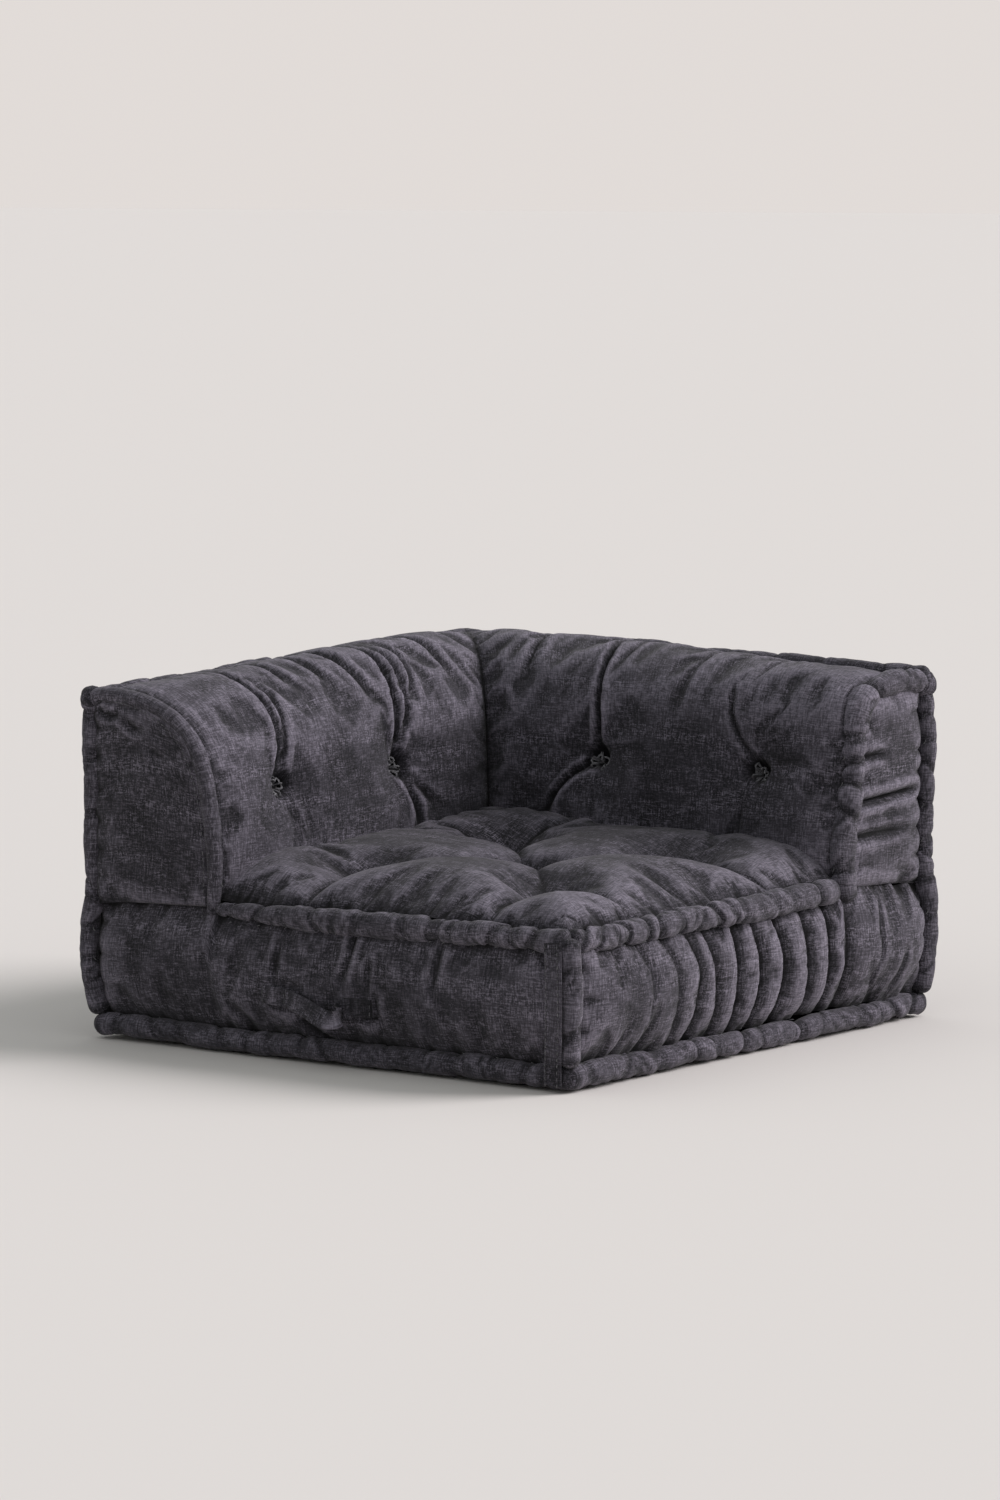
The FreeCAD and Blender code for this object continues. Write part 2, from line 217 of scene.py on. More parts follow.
def line_distance(x, y, line):
    """Distance of each point to a curve, and how far along it the nearest point is, from 0 to 1"""
    line = spline(line, curve_points)
    best = np.full(x.shape, np.inf)
    share = np.zeros(x.shape)
    for k, (a, b) in enumerate(zip(line, line[1:])):
        step = b - a
        t = np.clip(((x - a[0]) * step[0] + (y - a[1]) * step[1]) / (step @ step), 0, 1)
        d = np.hypot(x - a[0] - t * step[0], y - a[1] - t * step[1])
        share = np.where(d < best, (k + t) / (len(line) - 1), share)
        best = np.minimum(best, d)
    return best, share


def fold(x, y, line, depth, width):
    """A pulled fold along a line: a narrow valley between two soft lips, fading at its ends"""
    d, share = line_distance(x, y, line)
    begun, fading = 0.12, 0.6
    fade = smooth(0, begun, share) * (1 - smooth(fading, 1, share)) + hump(share, begun) * 0.6
    lips = 0.45 * hump(d - 2.0 * width, 1.3 * width)
    valley = np.exp(-np.abs(d / width) ** 1.2)
    return depth * fade * (lips - valley)


def tufted(x, y, centre, depth, reach, pit, rays, seed):
    """A dimple drawn in by a tuft, with a steep pit at its middle and wrinkles that run out from it"""
    dx, dy = x - centre[0], y - centre[1]
    r = np.hypot(dx, dy)
    angle = np.arctan2(dy, dx)
    wobble = 0.6 * noise(3 * np.cos(angle) + 9, 3 * np.sin(angle) + 9, seed)
    spread = hump(r - 0.4 * reach, 0.35 * reach)
    wrinkles = np.cos(rays * angle + 5 * wobble) * spread * (0.5 + 0.5 * wobble)
    dimple = depth * np.exp(-((r / reach) ** 1.15))
    steep = pit * np.exp(-((r / tuft_pit) ** 4))
    return -dimple - steep + 0.12 * depth * wrinkles


def scallop(along, pitch, seed):
    """Pinches at uneven steps along an edge, from 0 between them to 1 at each"""
    turn = along / pitch + 0.35 * noise(along / pitch * 0.7, 0 * along + 0.5, seed)
    return 1 - np.abs(np.sin(np.pi * turn)) ** 0.6


def seam_shade(distance, reach):
    """Painted shade on the cloth beside a seam"""
    return 0.9 * np.exp(-((distance / reach) ** 2))


def grid(columns, rows):
    u, v = np.meshgrid(np.linspace(0, 1, columns), np.linspace(0, 1, rows), indexing="ij")
    return u, v


def from_edges(u, v, width, height):
    """Distance from the nearest edge of a panel"""
    return np.minimum(np.minimum(u, 1 - u) * width, np.minimum(v, 1 - v) * height)


def facing(points):
    """Unit normals of a grid of points"""
    n = np.cross(np.gradient(points, axis=0), np.gradient(points, axis=1))
    return n / np.maximum(np.linalg.norm(n, axis=2, keepdims=True), 1e-12)


def unit(rows):
    return rows / np.linalg.norm(rows, axis=1, keepdims=True)


def patch(low, high, left, right):
    """A sheet stretched between four edge curves: low and high run along u, left and right along v"""
    u, v = grid(len(low), len(left))
    u, v = u[..., None], v[..., None]
    low, high, left, right = (np.asarray(c, float) for c in (low, high, left, right))
    ruled = (1 - v) * low[:, None] + v * high[:, None] + (1 - u) * left[None] + u * right[None]
    corners = (1 - u) * (1 - v) * low[0] + u * (1 - v) * low[-1] + (1 - u) * v * high[0] + u * v * high[-1]
    return ruled - corners


def mirrored(points):
    """The same points on the other back: mirror image across the diagonal"""
    return np.stack([-points[..., 1], -points[..., 0], points[..., 2]], axis=-1)


def other_back(shape, *fields):
    """The same sheet and its fields on the other back, with its outer side still outside"""
    return mirrored(shape)[::-1], *(field[::-1] for field in fields)


def hold_edges(held):
    held[0], held[-1], held[:, 0], held[:, -1] = 1, 1, 1, 1


def hold_spot(held, x, y, centre, reach):
    """Holds the cloth of a sheet under a tuft"""
    held[np.hypot(x - centre[0], y - centre[1]) < reach] = 1


def stuffed(points, held, pressure, extra, cap):
    """A sheet blown out like filled cloth, with its held points fixed"""
    columns, rows = points.shape[:2]
    start = points.reshape(-1, 3)
    obj = sheet_object("swelling", points)
    group = obj.vertex_groups.new(name="held")
    for index, weight in enumerate(held.ravel()):
        if weight > 0:
            group.add([index], float(weight), "REPLACE")
    cloth = obj.modifiers.new("cloth", "CLOTH")
    settings = cloth.settings
    settings.quality = 5
    settings.mass = 0.25
    settings.tension_stiffness = 14
    settings.compression_stiffness = 14
    settings.shear_stiffness = 6
    settings.bending_stiffness = 0.35
    settings.vertex_group_mass = group.name
    settings.shrink_min = -extra
    settings.use_pressure = True
    settings.uniform_pressure_force = pressure
    settings.effector_weights.gravity = 0
    cloth.collision_settings.use_collision = False
    cloth.point_cache.frame_end = swell_frames
    for f in range(1, swell_frames + 1):
        scene.frame_set(f)
    shown = obj.evaluated_get(bpy.context.evaluated_depsgraph_get())
    moved = np.empty(len(start) * 3)
    shown.data.vertices.foreach_get("co", moved)
    mesh = obj.data
    bpy.data.objects.remove(obj)
    bpy.data.meshes.remove(mesh)
    scene.frame_set(1)
    shift = moved.reshape(-1, 3) - start
    size = np.linalg.norm(shift, axis=1, keepdims=True)
    shift *= cap * np.tanh(size / cap) / np.maximum(size, 1e-9)
    return (start + shift).reshape(columns, rows, 3)


def relief(points, around):
    """How far each point stands out of the cloth round it, from -1 in a hollow to 1 on a crest"""
    step = np.linalg.norm(np.diff(points, axis=0), axis=2).mean()
    normals = facing(points)
    level = points.copy()
    rise = np.zeros(points.shape[:2])
    done = 0
    for reach, full in ((fade_reach, near_relief), (wide_fade_reach, far_relief)):
        rounds = min(most_rounds, int(2 * (reach / step) ** 2))
        for _ in range(rounds - done):
            level[1:-1] = (level[:-2] + 2 * level[1:-1] + level[2:]) / 4
            if not around:
                level[:, 1:-1] = (level[:, :-2] + 2 * level[:, 1:-1] + level[:, 2:]) / 4
        done = rounds
        rise += ((points - level) * normals).sum(axis=2) / full
    if around:
        rise += roll_rubbing
    ends = np.minimum(np.arange(len(points)), np.arange(len(points))[::-1]) * step
    fade = smooth(0.2 * fade_reach, (3.0 if around else 0.8) * fade_reach, ends)
    return np.clip(rise, -1, 1) * fade[:, None]


def sheet_object(name, sheets, around=False, shade=0.0):
    """Mesh object of one or more grids of points, with a cloth map in metres and the ridges marked, less
    the painted shade beside seams
    """
    vertices, faces, maps, marks = [], [], [], []
    total = 0
    for points in sheets if isinstance(sheets, list) else [sheets]:
        columns, rows = points.shape[:2]
        index = total + np.arange(columns * rows).reshape(columns, rows)
        closed = np.concatenate([points, points[:, :1]], axis=1) if around else points
        if around:
            index = np.hstack([index, index[:, :1]])
        du = np.linalg.norm(np.diff(closed, axis=0), axis=2).mean(axis=1)
        dv = np.linalg.norm(np.diff(closed, axis=1), axis=2).mean(axis=0)
        u = np.concatenate([[0], np.cumsum(du)])[:, None] + map_shift * total + np.zeros(index.shape)
        v = np.concatenate([[0], np.cumsum(dv)])[None] + np.zeros(index.shape)
        place = np.stack([index, u, v], axis=-1)
        face_corners = [place[:-1, :-1], place[1:, :-1], place[1:, 1:], place[:-1, 1:]]
        corners = np.stack(face_corners, axis=-2).reshape(-1, 4, 3)
        vertices.append(points.reshape(-1, 3))
        faces.append(corners[..., 0].astype(int))
        maps.append(corners[..., 1:].reshape(-1, 2))
        # The painted shade beside seams is taken off the relief, so the cloth darkens there as in a hollow
        marks.append(np.clip(relief(points, around) - shade, -1, 1).ravel())
        total += columns * rows
    mesh = bpy.data.meshes.new(name)
    mesh.from_pydata(np.vstack(vertices).tolist(), [], np.vstack(faces).tolist())
    mesh.uv_layers.new(name="cloth").data.foreach_set("uv", np.vstack(maps).astype(np.float32).ravel())
    ridges = mesh.attributes.new("relief", "FLOAT", "POINT")
    ridges.data.foreach_set("value", np.concatenate(marks).astype(np.float32))
    mesh.polygons.foreach_set("use_smooth", np.ones(len(mesh.polygons), bool))
    obj = bpy.data.objects.new(name, mesh)
    scene.collection.objects.link(obj)
    return obj


def finished(obj, material, *nodes, slot="charcoal_cotton", fill=None):
    """Gives a piece its material and its place on the sofa"""
    obj.data.materials.append(material)
    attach(obj, "sofa")
    if nodes:
        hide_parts(*nodes)


def give(node, values):
    """Gives inputs of a node their plain values"""
    for name, value in values.items():
        node.inputs[name].default_value = value


def feed(tree, socket, value):
    """Links a socket to another one, or gives it a plain value"""
    if isinstance(value, bpy.types.NodeSocket):
        tree.links.new(value, socket)
    else:
        socket.default_value = value


def mixed(tree, factor, a, b):
    """Two colours mixed by a factor"""
    node = tree.nodes.new("ShaderNodeMix")
    node.data_type = "RGBA"
    feed(tree, node.inputs["Factor"], factor)
    feed(tree, node.inputs["A"], a)
    feed(tree, node.inputs["B"], b)
    return node.outputs["Result"]


def maths(tree, operation, a, b):
    node = tree.nodes.new("ShaderNodeMath")
    node.operation = operation
    feed(tree, node.inputs[0], a)
    feed(tree, node.inputs[1], b)
    return node.outputs["Value"]


def ramp(tree, value, low, high, low_value=0.0, high_value=1.0):
    """Carries the range from low to high over to another one"""
    node = tree.nodes.new("ShaderNodeMapRange")
    give(node, {"From Min": low, "From Max": high, "To Min": low_value, "To Max": high_value})
    tree.links.new(value, node.inputs["Value"])
    return node.outputs["Result"]


def cloth_noise(tree, size, detail, roughness, stretch=(1, 1), wander=0.0):
    """Noise over the cloth map: size is the lump in metres, stretched along the threads"""
    uv = tree.nodes.new("ShaderNodeUVMap")
    uv.uv_map = "cloth"
    mapping = tree.nodes.new("ShaderNodeMapping")
    give(mapping, {"Scale": (1 / (size * stretch[0]), 1 / (size * stretch[1]), 1)})
    field = tree.nodes.new("ShaderNodeTexNoise")
    give(field, {"Scale": 1, "Detail": detail, "Roughness": roughness, "Distortion": wander})
    tree.links.new(uv.outputs["UV"], mapping.inputs["Vector"])
    tree.links.new(mapping.outputs["Vector"], field.inputs["Vector"])
    return field.outputs["Fac"]


def cotton(name, hollow, deep, middle, pale):
    """Washed cotton: slubby threads, faded clouds and bands, pale rubbed crests, and painted shade in its
    hollows
    """
    material = bpy.data.materials.new(name)
    material.use_nodes = True
    tree = material.node_tree
    shader = tree.nodes["Principled BSDF"]
    clouds = ramp(tree, cloth_noise(tree, cloud_size, 4, 0.65), 0.36, 0.64)
    warp = cloth_noise(tree, thread_size, 4, 0.72, stretch=(1, 8), wander=0.4)
    weft = cloth_noise(tree, thread_size, 4, 0.72, stretch=(6, 1), wander=0.4)
    threads = maths(tree, "MULTIPLY", maths(tree, "ADD", warp, weft), 0.5)
    slubs = ramp(tree, threads, 0.49, 0.60)
    patches = ramp(tree, cloth_noise(tree, patch_size, 5, 0.72, stretch=(1.5, 1)), 0.50, 0.69)
    bands = ramp(tree, cloth_noise(tree, band_size, 3, 0.6, stretch=(9, 1)), 0.46, 0.64)
    washed = maths(tree, "MAXIMUM", patches, bands)
    speckle = ramp(tree, cloth_noise(tree, speckle_size, 2, 0.8), 0.54, 0.70)
    mark = tree.nodes.new("ShaderNodeAttribute")
    mark.attribute_name = "relief"
    crest = ramp(tree, mark.outputs["Fac"], 0.22, 1.0)
    # Painted shade: the cloth turns toward the hollow tone in hollows and beside seams; in the folds it
    # also stands for the less faded dye
    hollow_shade_and_dye = ramp(tree, mark.outputs["Fac"], -0.22, -0.95, 0.0, 0.92)
    base = mixed(tree, clouds, deep, middle)
    for pattern, strength in ((slubs, ramp(tree, washed, 0, 1, 0.18, 0.60)),
                              (speckle, ramp(tree, washed, 0, 1, 0.16, 0.56)),
                              (crest, ramp(tree, threads, 0.40, 0.60, 0.15, 0.65))):
        base = mixed(tree, maths(tree, "MULTIPLY", pattern, strength), base, pale)
    base = mixed(tree, hollow_shade_and_dye, base, hollow)
    tree.links.new(base, shader.inputs["Base Color"])
    give(shader, {"Roughness": 0.93, "Specular IOR Level": 0.15})
    give(shader, {"Sheen Weight": 0.08, "Sheen Roughness": 0.5})
    bump = tree.nodes.new("ShaderNodeBump")
    give(bump, {"Strength": 0.6, "Distance": 0.0014})
    tree.links.new(threads, bump.inputs["Height"])
    tree.links.new(bump.outputs["Normal"], shader.inputs["Normal"])
    return material


def upright(a, out, z, quarter):
    """Points of a side of the seat block, a along it: quarter 0 is the front, then right, rear and left"""
    turns = [(a, -out), (out, a), (-a, out), (-out, -a)]
    x, y = turns[quarter]
    return np.stack([x, y, z], axis=-1)


def border(name, quarter, seed, pleats=(), folds=(), back_end=0, step=cell, loose=0.025):
    """One side of the seat block, full at mid height, gathered into the rolls above and below"""
    u, v = grid(int(side_length / step), int(border_rise / step))
    reach = waist_axis + border_lap - border_bow * (2 * v - 1) ** 2
    a = (2 * u - 1) * reach
    toward = back_end * a
    climb = end_climb * np.clip((seam_axis - toward) / (seam_axis - seat_edge), 0, 1) - end_drop
    top = border_top_z + climb * smooth(seat_edge - end_turn, seat_edge, toward)
    z = border_low_z + (top - border_low_z) * v
    height = 1 - np.abs(2 * v - 1) ** 2.4
    corner = 1 - np.abs(2 * u - 1) ** 14
    out = border_seat - border_undercut * (1 - v) ** 2 - corner_tuck * (1 - corner)
    out = out + border_fullness * height * corner
    shape = upright(a, out, z, quarter)
    wave = np.zeros(a.shape)
    held = np.zeros(a.shape)
    for line, depth in pleats:
        d, share = line_distance(a, z, line)
        valley = np.interp(z, [p[1] for p in line[::-1]], [p[0] for p in line[::-1]])
        shown = 1 - 0.45 * smooth(0.25, 0, share) - 0.45 * smooth(0.75, 1, share)
        wave -= depth * shown * np.exp(-d / np.where(a < valley, pleat_steep_side, pleat_soft_side))
        held = np.maximum(held, (d < 0.55 * step) * min(1.0, depth / held_depth))
    for line, depth, width in folds:
        wave += fold(a, z, line, depth, width)
    wave += 0.0030 * noise(a * 9, z * 13, seed + 1) + 0.0016 * noise(a * 32, z * 26, seed + 2)
    gather = hump(v - 1, 0.14) + hump(v, 0.14)
    wave += 0.20 * loose * gather * noise(a * 40, z * 5, seed + 3)
    beside = (1 - np.abs(2 * u - 1)) * reach
    wave -= 0.012 * np.exp(-beside / 0.020) * scallop(z, 0.047, seed)
    shape = shape + facing(shape) * (wave * np.minimum(1, beside / 0.012))[..., None]
    hold_edges(held)
    rolled = np.minimum(z - border_low_z, top - z)
    # Painted shade beside the corner rolls and under the top and bottom rolls
    shade = np.maximum(seam_shade(beside, 0.018), seam_shade(rolled, 0.014))
    shape = stuffed(shape, held, pressure=2.2, extra=loose, cap=0.010)
    finished(sheet_object(name + "_cover", shape, shade=shade), charcoal, name, fill=0.75)
    return shape


def seat():
    """The quilted seat pad: pillows between five tufts, dying into the rolls and under the backs"""
    u, v = grid(int(seat_length / cell), int(seat_length / cell))
    low, high = -seat_edge - seat_under_back, seam_axis - seat_under_roll
    x = low + (high - low) * u
    y = -high + (high - low) * v
    open_edge = np.minimum(y + high, high - x)
    z = seam_z + pad_start + pad_rise * (1 - np.exp(-open_edge / pad_shoulder))
    z += corner_swell * hump(np.hypot(x + seat_edge, y - seat_edge), corner_spread)
    held = np.zeros(x.shape)
    for k, tuft in enumerate(seat_tufts):
        z += tufted(x, y, tuft, depth=0.046, reach=0.055, pit=0.012, rays=9, seed=20 + k)
        hold_spot(held, x, y, tuft, tuft_radius)
    for tuft in seat_tufts[1:]:
        d, _ = line_distance(x, y, [seat_centre, (seat_centre + tuft) / 2, tuft])
        z -= valley_depth * np.exp(-np.abs(d / valley_width) ** 1.3)
        across, along = np.copysign(edge_valley_length, tuft - seat_centre)
        for edge in (np.array([across, 0]), np.array([0, along])):
            d, share = line_distance(x, y, [tuft, tuft + 0.5 * edge, tuft + edge])
            toward_back = edge[0] < 0 or edge[1] > 0
            depth, gone = (0.009, 0.42) if toward_back else (0.015, 0.85)
            z -= depth * np.exp(-np.abs(d / edge_valley_width) ** 1.3) * (1 - smooth(0.05, gone, share))
    z += 0.004 * noise(x * 9, y * 9, 31) + 0.0015 * noise(x * 30, y * 30, 32)
    z += 0.004 * np.exp(-open_edge / 0.035) * noise(x * 34, y * 34, 33)
    hold_edges(held)
    shape = stuffed(np.stack([x, y, z], axis=-1), held, pressure=2.6, extra=0.045, cap=0.018)
    # Painted shade along the open edges, beside the seat rolls
    cover = sheet_object("seat_cover", shape, shade=seam_shade(open_edge, 0.016))
    finished(cover, charcoal, "seat_top_panel", "seat_core", fill=0.85)
    return shape


def inner_back(back, end_profile, flange, tuft_rise, folds, seed, flip):
    """A back's inner face and top in one cover, from its end to the mitre. Made as the left back"""
    rows = int(back_rise / fine_cell)
    end, corner = spline(end_profile, rows), spline(corner_profile, rows)
    u, _ = grid(int(back_length / fine_cell), rows)
    share = smooth(0.0, 0.75, u)[..., None]
    profile = (1 - share) * end[None] + share * corner[None]
    along = -flange + u * (half_side - profile[..., 0] + flange)
    shape = np.stack([profile[..., 0] - half_side, along, profile[..., 1]], axis=-1)
    up = lengths(shape[len(shape) // 2])[None] + 0 * along
    edge = np.minimum(along - along[:1], along[-1:] - along)
    wave = 0.014 * (1 - np.exp(-edge / 0.028)) * smooth(0, 0.05, up) * (1 - smooth(0.40, 0.50, up))
    held = np.zeros(along.shape)
    for k, place in enumerate(back_tufts):
        tuft = (place, tuft_rise)
        wave += tufted(along, up, tuft, depth=0.032, reach=0.044, pit=0.020, rays=8, seed=seed + k)
        hold_spot(held, along, up, tuft, 1.05 * tuft_pit)
    for line, depth, width in folds:
        wave += fold(along, up, line, depth, width)
        d, part = line_distance(along, up, line)
        held = np.maximum(held, (d < 0.5 * fine_cell) * (part < 0.8) * min(0.9, depth / held_depth))
    wave += 0.003 * noise(along * 8, up * 8, seed + 7) + 0.0015 * noise(along * 26, up * 18, seed + 8)
    wave += 0.0022 * noise(along * 45, up * 4, seed + 9) * smooth(0.22, 0.42, up)
    shape = shape + facing(shape) * (wave * np.minimum(1, edge / 0.02))[..., None]
    hold_edges(held)
    # Painted shade beside the end and the mitre seams
    shade = seam_shade(edge, 0.006)
    if flip:
        shape, held, shade = other_back(shape, held, shade)
    shape = stuffed(shape, held, pressure=2.0, extra=0.025, cap=0.011)
    cover = sheet_object(back + "_inner_cover", shape, shade=shade)
    finished(cover, charcoal, back + "_inner_panel", back + "_core", fill=0.8)
    return shape


def end_face(name, profile, flange, fullness, loose, folds, seed, flip):
    """The quilted end of a back, inside its rolled edge. Made as the left back"""
    columns, rows = 56, 80
    curve = spline(profile, 120)
    roll_edge, inner_share = 0.034, 0.60
    curve = curve[curve[:, 0] > roll_edge]
    cut = int(inner_share * len(curve))
    level = np.c_[curve[:, 0] - half_side, np.full(len(curve), -flange), curve[:, 1]]
    inner = spline(level[:cut], rows)
    top = spline(level[cut - 1:][::-1], columns)
    inner[:, 0] -= end_inset
    top[:, 2] -= end_inset
    top[-1] = inner[-1]
    low_z = border_top_z - end_drop
    inner[0, 2] = low_z + end_climb
    low = np.linspace((top[0, 0], -flange, low_z), inner[0], columns)
    outer = np.linspace(low[0], top[0], rows)
    shape = patch(low, top, outer, inner)
    u, v = grid(columns, rows)
    edge = from_edges(u, v, end_depth, end_rise)
    x, z = shape[..., 0], shape[..., 2]
    wave = fullness * (1 - np.exp(-edge / 0.014))
    for line, depth, width in folds:
        wave += fold(x, z, line, depth, width)
    beside = np.minimum(u, 1 - u) * end_depth
    wave -= 0.8 * fullness * np.exp(-beside / 0.018) * scallop(z, 0.045, seed + 2)
    wave += 0.0025 * noise(x * 12, z * 12, seed) + 0.0012 * noise(x * 40, z * 40, seed + 1)
    shape[..., 1] -= wave * smooth(0, 0.008, edge)
    held = np.zeros(x.shape)
    hold_edges(held)
    # Painted shade beside the outer roll and, fainter, along the lower seam
    shade = np.maximum(seam_shade(u * end_depth, 0.018), 0.7 * seam_shade(v * end_rise, 0.010))
    if flip:
        shape, held, shade = other_back(shape, held, shade)
    shape = stuffed(shape, held, pressure=80 * fullness, extra=loose, cap=0.4 * fullness)
    finished(sheet_object(name + "_cover", shape, shade=shade), charcoal, name, fill=0.8)


def outer_face(name, seed, flip):
    """The quilted outside of a back. Made as the left back"""
    u, v = grid(int(side_length / hidden_cell), int(end_rise / hidden_cell))
    y = outer_reach - 2 * outer_reach * u
    top = end_z - 0.003 + (corner_z - end_z) * (1 - u)
    z = seam_z - 0.010 + (top - seam_z + 0.010) * v
    edge = from_edges(u, v, outer_length, end_rise)
    wave = 0.016 * (1 - np.exp(-edge / 0.03))
    held = np.zeros(y.shape)
    for k, place in enumerate(back_tufts):
        tuft = (place, back_tuft_z)
        wave += tufted(y, z, tuft, depth=0.016, reach=0.045, pit=0.004, rays=8, seed=seed + k)
        hold_spot(held, y, z, tuft, 0.011)
    wave += 0.003 * noise(y * 9, z * 9, seed + 4) + 0.0015 * noise(y * 30, z * 22, seed + 5)
    shape = np.stack([-outer_plane - wave * smooth(0, 0.01, edge), y, z], axis=-1)
    hold_edges(held)
    if flip:
        shape, held = other_back(shape, held)
    shape = stuffed(shape, held, pressure=1.5, extra=0.02, cap=0.008)
    finished(sheet_object(name + "_cover", shape), charcoal, name, fill=0.8)
    return shape


def base():
    """The cloth underneath, turned up a little where it meets the rolls"""
    u, v = grid(base_cells, base_cells)
    x = base_reach * (2 * u - 1)
    y = base_reach * (1 - 2 * v)
    z = 0.0015 + 0.014 * smooth(0.36, base_reach, np.maximum(np.abs(x), np.abs(y)))
    z += 0.0012 * (1 + noise(x * 14, y * 14, 15))
    for tuft in seat_tufts:
        z += 0.008 * hump(np.hypot(x - tuft[0], y - tuft[1]), 0.03)
    shape = np.stack([x, y, z], axis=-1)
    finished(sheet_object("base_cover", shape), charcoal, "base_cloth")
    return shape


def roll(node, path, outward, seed, pitch=0.062, radius=roll_radius, start_radius=None, pinch=0.30,
         across=0.4, lap=0.0, knob=0.0):
    """A stuffed edge roll along a path, drawn in by slanting stitches at uneven steps, least outside"""
    rng = np.random.default_rng(seed)
    path = np.array(path, float)
    for end, beside in ((0, 1), (-1, -2)):
        step = path[end] - path[beside]
        path[end] += lap * step / np.linalg.norm(step)
    length = lengths(spline(path, 200))[-1]
    count = int(length / roll_step)
    line = spline(path, count)
    ahead = unit(np.gradient(line, axis=0))
    out = np.array(outward, float) + 0 * line
    out = unit(out - (out * ahead).sum(axis=1, keepdims=True) * ahead)
    side = np.cross(out, ahead)
    run = np.linspace(0, length, count)
    sway = 0.0028 * np.minimum(1, np.minimum(run, length - run) / 0.06)[:, None]
    outward_sway = noise(run * 11, 0 * run, seed + 4)[:, None] * out
    side_sway = noise(run * 9, 0 * run, seed + 5)[:, None] * side
    line = line + sway * (outward_sway + side_sway)
    angle = np.linspace(-np.pi, np.pi, roll_sides, endpoint=False)
    s, turn = np.meshgrid(run, angle, indexing="ij")
    places = np.cumsum(pitch * rng.choice((0.55, 0.7, 0.9, 1.2, 1.7), int(3 * length / pitch)))
    places = places[places < length - 0.4 * pitch]
    if knob:
        clear = (places > 1.6 * knob) & (places < length - 1.6 * knob)
        places = np.concatenate([[knob], places[clear], [length - knob]])
    size = np.ones(s.shape)
    edges = np.concatenate([[0], places, [length]])
    for a, b in zip(edges, edges[1:]):
        belly = np.clip(1 - (2 * (s - a) / (b - a) - 1) ** 2, 0, 1) ** 0.6
        size = np.where((s >= a) & (s < b), 0.97 + pinch * rng.uniform(0.0, 0.20) * belly, size)
    for at in places:
        slant = rng.uniform(-0.012, 0.012)
        bend = rng.uniform(-0.005, 0.005)
        lean = rng.choice((-1, 1), p=(0.3, 0.7))
        d = lean * (s - at - slant * turn - bend * np.cos(2 * turn))
        steep_side = np.exp(np.minimum(d, 0) / 0.0026)
        soft_side = np.exp(-np.maximum(d, 0) / rng.uniform(0.006, 0.020))
        tuck = np.where(d < 0, steep_side, soft_side)
        outside = 0.9 if rng.random() < across else rng.uniform(0.05, 0.35)
        depth = pinch * rng.uniform(0.4, 1.15)
        size = size - depth * (1 - (1 - outside) * (0.5 + 0.5 * np.cos(turn))) * tuck
        for shift in rng.uniform(-0.020, 0.020, 3):
            d = s - at - shift - 1.5 * slant * turn
            depth = 0.22 * pinch * rng.uniform(0.3, 1)
            crease_turn = rng.uniform(-1.6, 1.6)
            size = size - depth * hump(d, 0.0028) * hump(turn - crease_turn, 0.8)
        k = int(np.clip(at / length * count, 1, count - 2))
        for stitch_turn in (-1.9, 1.9):
            around = math.cos(stitch_turn) * out[k] + math.sin(stitch_turn) * side[k]
            spot = line[k] + 0.93 * radius * around
            reach = 0.004 * ahead[k] + 0.002 * out[k]
            edge_stitches.append([spot - reach, spot + 0.0015 * out[k], spot + reach])
    lumps = 0.09 * noise(s * 22, turn * 0.8 + 5, seed + 1)
    crinkles = 0.12 * pinch * noise(s * 95 + 2 * turn, turn * 0.9 + 9, seed + 2)
    size = size + lumps + crinkles
    thinnest, soften = 0.58, 0.12
    size = thinnest + soften * np.logaddexp(0, (size - thinnest) / soften)
    tip = np.clip(np.minimum(s, length - s) / (0.85 * radius), 0, 1)
    size = size * np.sqrt(np.clip(1 - (1 - tip) ** 2, 0.001, 1))
    size = size * np.interp(s, [0, 0.3 * length], [start_radius or radius, radius])
    ring = np.cos(turn)[..., None] * out[:, None] + np.sin(turn)[..., None] * side[:, None]
    tube = line[:, None] + ring * size[..., None]
    finished(sheet_object(node + "_piece", tube, around=True), charcoal, node)


def corner_path(quarter, low, high):
    """The bowed upright line of a corner. Quarter 0 is front right, then anticlockwise"""
    sx, sy = corner_signs[quarter]
    heights = [base_z + 0.016, 0.08, waist_z, 0.19, seam_z, 0.33, 0.45, end_z, corner_z]
    reaches = [base_axis + 0.003, 0.474, waist_axis, 0.478, seam_axis, 0.473, 0.474, seam_axis, seam_axis]
    z = np.linspace(low, high, 9)
    reach = np.interp(z, heights, reaches)
    return np.stack([sx * reach, sy * reach, z], axis=1)


def strand(path, radius, count=14, sides=6):
    """Grid of points round a thin strand with rounded ends"""
    line = spline(path, count)
    ahead = unit(np.gradient(line, axis=0))
    across = np.eye(3)[np.abs(ahead.mean(axis=0)).argmin()]
    side = unit(np.cross(ahead, across))
    over = np.cross(side, ahead)
    turn = np.linspace(0, 2 * np.pi, sides, endpoint=False)[None, :, None]
    size = radius * np.sqrt(np.clip(1 - np.linspace(-1, 1, count) ** 8, 0.01, 1))[:, None, None]
    return line[:, None] + size * (np.cos(turn) * over[:, None] + np.sin(turn) * side[:, None])


